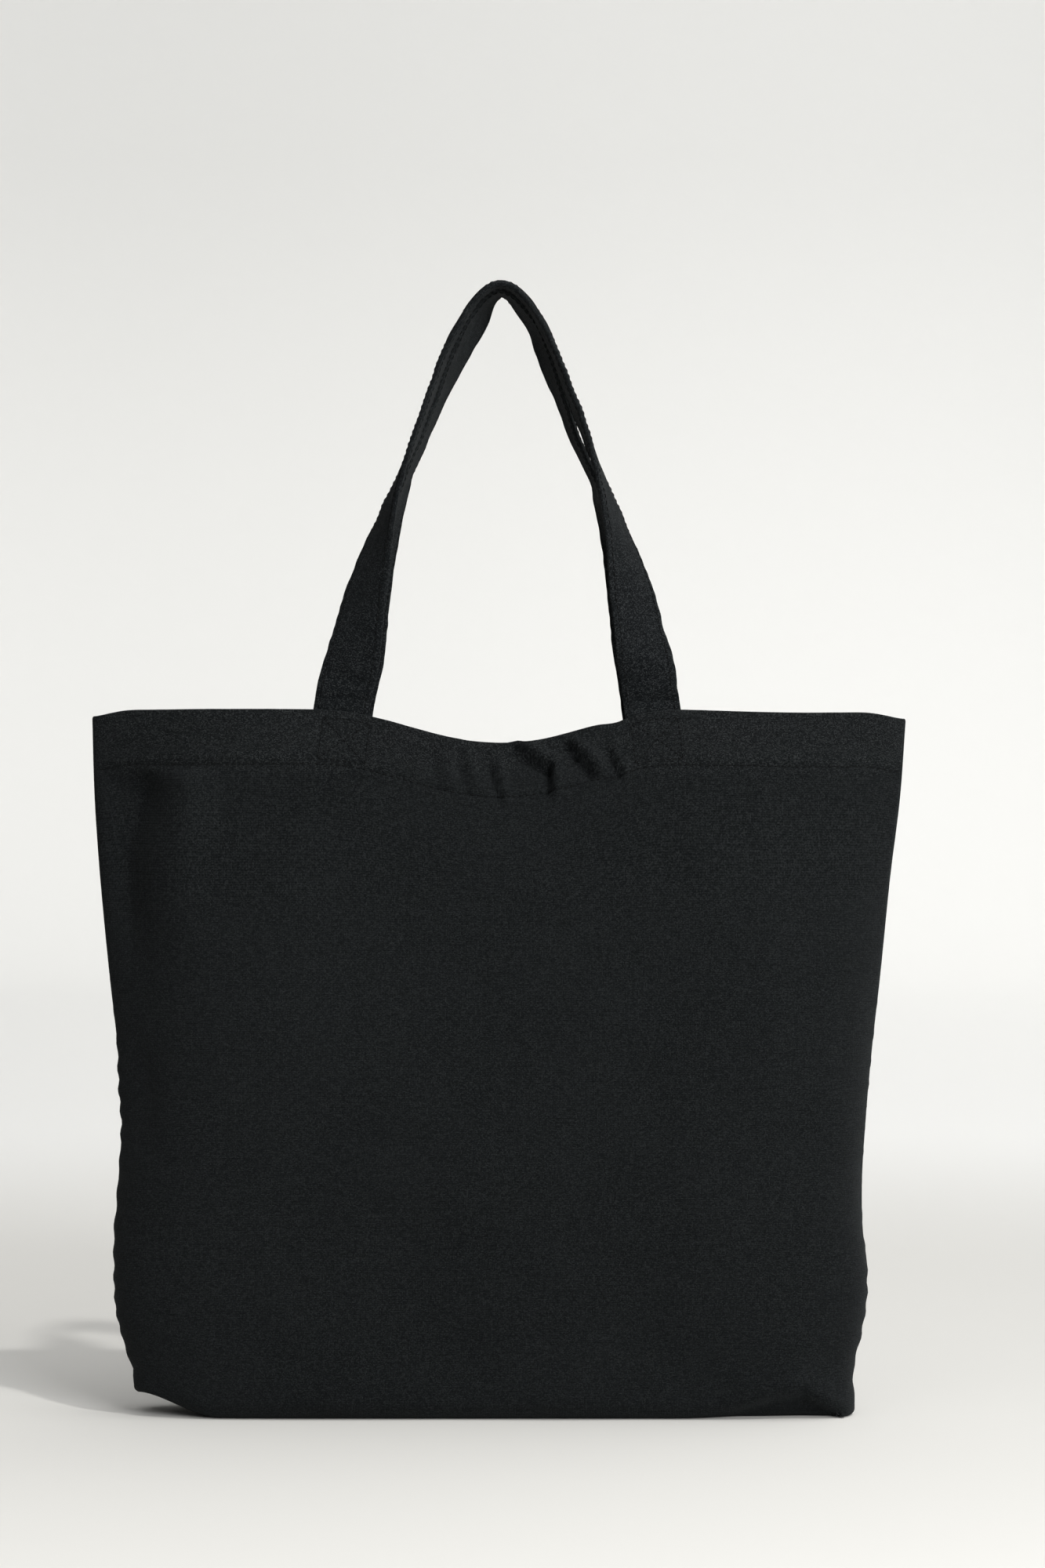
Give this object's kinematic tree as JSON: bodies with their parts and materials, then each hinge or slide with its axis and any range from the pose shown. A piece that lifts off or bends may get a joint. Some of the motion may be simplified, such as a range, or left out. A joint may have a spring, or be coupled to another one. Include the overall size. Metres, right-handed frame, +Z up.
{
  "type": "canvas tote bag",
  "caption": "Soft open-top tote bag of heavy black canvas with a turned hem, boxed base corners and two sewn carrying straps that swing at the rim.",
  "frame": {"origin": "middle of the base, on the surface that the bag stands on", "axes": "+Z up, -Y out of the front, +X to the right seen from the front"},
  "size_m": [0.448, 0.0904, 0.6208],
  "materials": {
    "canvas": "heavy plain-weave cotton canvas, near-black charcoal, matte with fine nap and small slubs",
    "strap_canvas": "the same canvas folded to four layers, edges worn a little lighter",
    "thread": "black twisted sewing thread, slight sheen",
    "seam_edge": "raw canvas edges bound with black overlock thread"
  },
  "bodies": {
    "bag": {"front_panel": "canvas", "back_panel": "canvas", "left_side_seam": "seam_edge", "right_side_seam": "seam_edge", "base_seam": "seam_edge", "left_corner_seam": "seam_edge", "right_corner_seam": "seam_edge", "front_hem_stitch": "thread", "back_hem_stitch": "thread", "front_left_strap_end": "strap_canvas", "front_right_strap_end": "strap_canvas", "back_left_strap_end": "strap_canvas", "back_right_strap_end": "strap_canvas", "front_left_box_stitch": "thread", "front_right_box_stitch": "thread", "back_left_box_stitch": "thread", "back_right_box_stitch": "thread"},
    "front_handle_loop": {"front_handle": "strap_canvas", "front_handle_stitch": "thread"},
    "back_handle_loop": {"back_handle": "strap_canvas", "back_handle_stitch": "thread"}
  },
  "joints": [
    {"name": "front_handle_swing", "type": "hinge", "parent": "bag", "child": "front_handle_loop", "pos_m": [0, -0.02575, 0.3874], "axis": [1, 0, 0], "range_deg": [0, 165]},
    {"name": "back_handle_swing", "type": "hinge", "parent": "bag", "child": "back_handle_loop", "pos_m": [0, 0.02575, 0.3874], "axis": [-1, 0, 0], "range_deg": [0, 165]}
  ]
}
